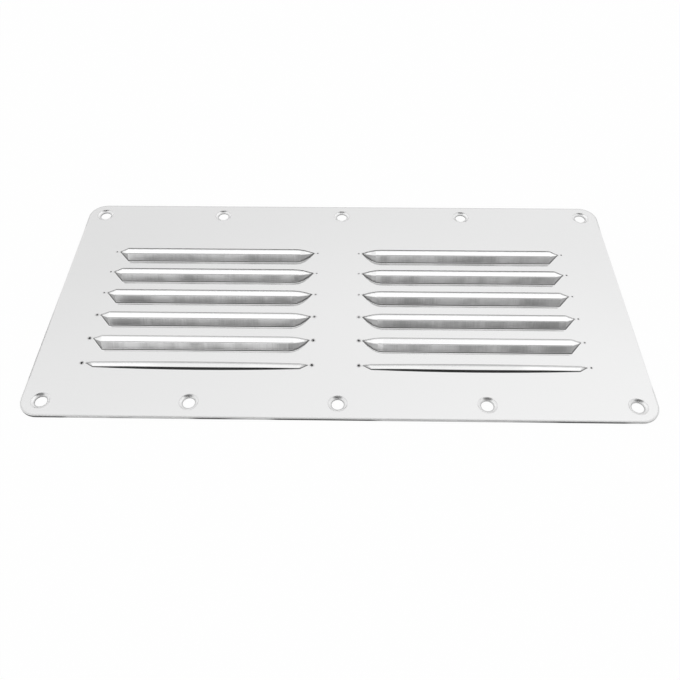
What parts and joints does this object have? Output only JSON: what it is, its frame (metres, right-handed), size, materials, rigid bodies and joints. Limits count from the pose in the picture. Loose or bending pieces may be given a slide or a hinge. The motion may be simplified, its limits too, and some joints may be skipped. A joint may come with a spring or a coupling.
{
  "type": "louvred sheet metal panel",
  "caption": "Rectangular stamped and polished stainless steel vent panel with rows of raised louvre hoods in columns, rounded corners and countersunk screw holes along both long edges.",
  "frame": {"origin": "centre of the flat back face, which is the face that seats on the wall or lies on the floor", "axes": "+X along the long edges and the slits, +Y towards the open side of the louvres, +Z out of the front face, which the hoods rise from"},
  "size_m": [0.232, 0.1174, 0.0044],
  "materials": {
    "polished_stainless": "mirror polished, with fine drawn streaks on the steep faces of the hoods"
  },
  "bodies": {
    "root": {"louvred_panel": "polished_stainless"}
  },
  "joints": []
}
